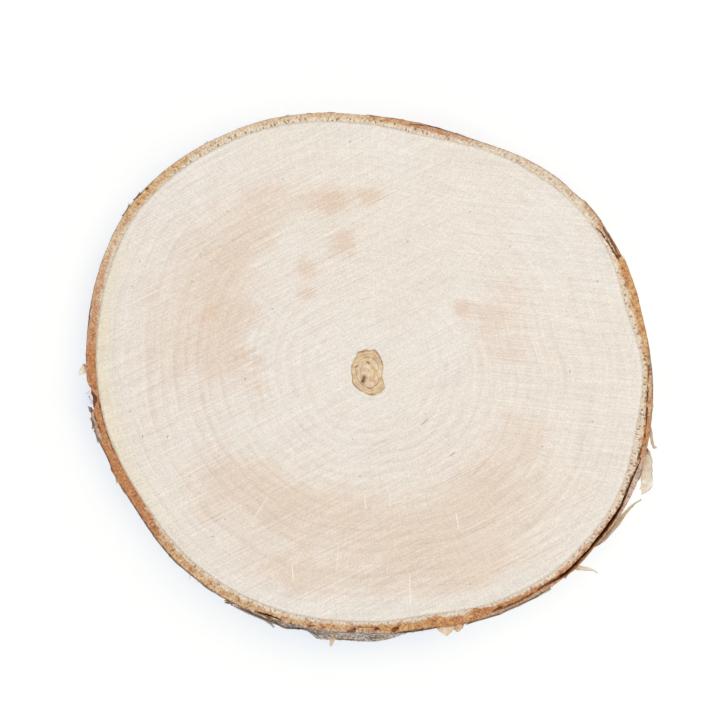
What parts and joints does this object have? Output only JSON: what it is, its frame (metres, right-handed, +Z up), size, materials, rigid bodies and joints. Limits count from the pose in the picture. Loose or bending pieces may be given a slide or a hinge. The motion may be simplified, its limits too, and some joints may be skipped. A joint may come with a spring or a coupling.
{
  "type": "birch wood slice",
  "caption": "Slice sawn across a birch trunk: a slightly oval disc of pale wood with its bark left on, the papery outer bark peeling in strips and curls.",
  "frame": {"origin": "under the pith, on the sawn underside that the slice rests on", "axes": "+Z up through the slice, from the underside to the sawn top; +X and +Y as right and up on the top face in the picture"},
  "size_m": [0.2322, 0.2182, 0.025],
  "materials": {
    "sawn_birch_wood": "sanded, unsealed end grain",
    "birch_inner_bark": "matt, corky",
    "birch_paper_bark": "matt, papery"
  },
  "bodies": {
    "root": {"wood": "sawn_birch_wood", "inner_bark": "birch_inner_bark", "outer_bark": "birch_paper_bark"}
  },
  "joints": []
}
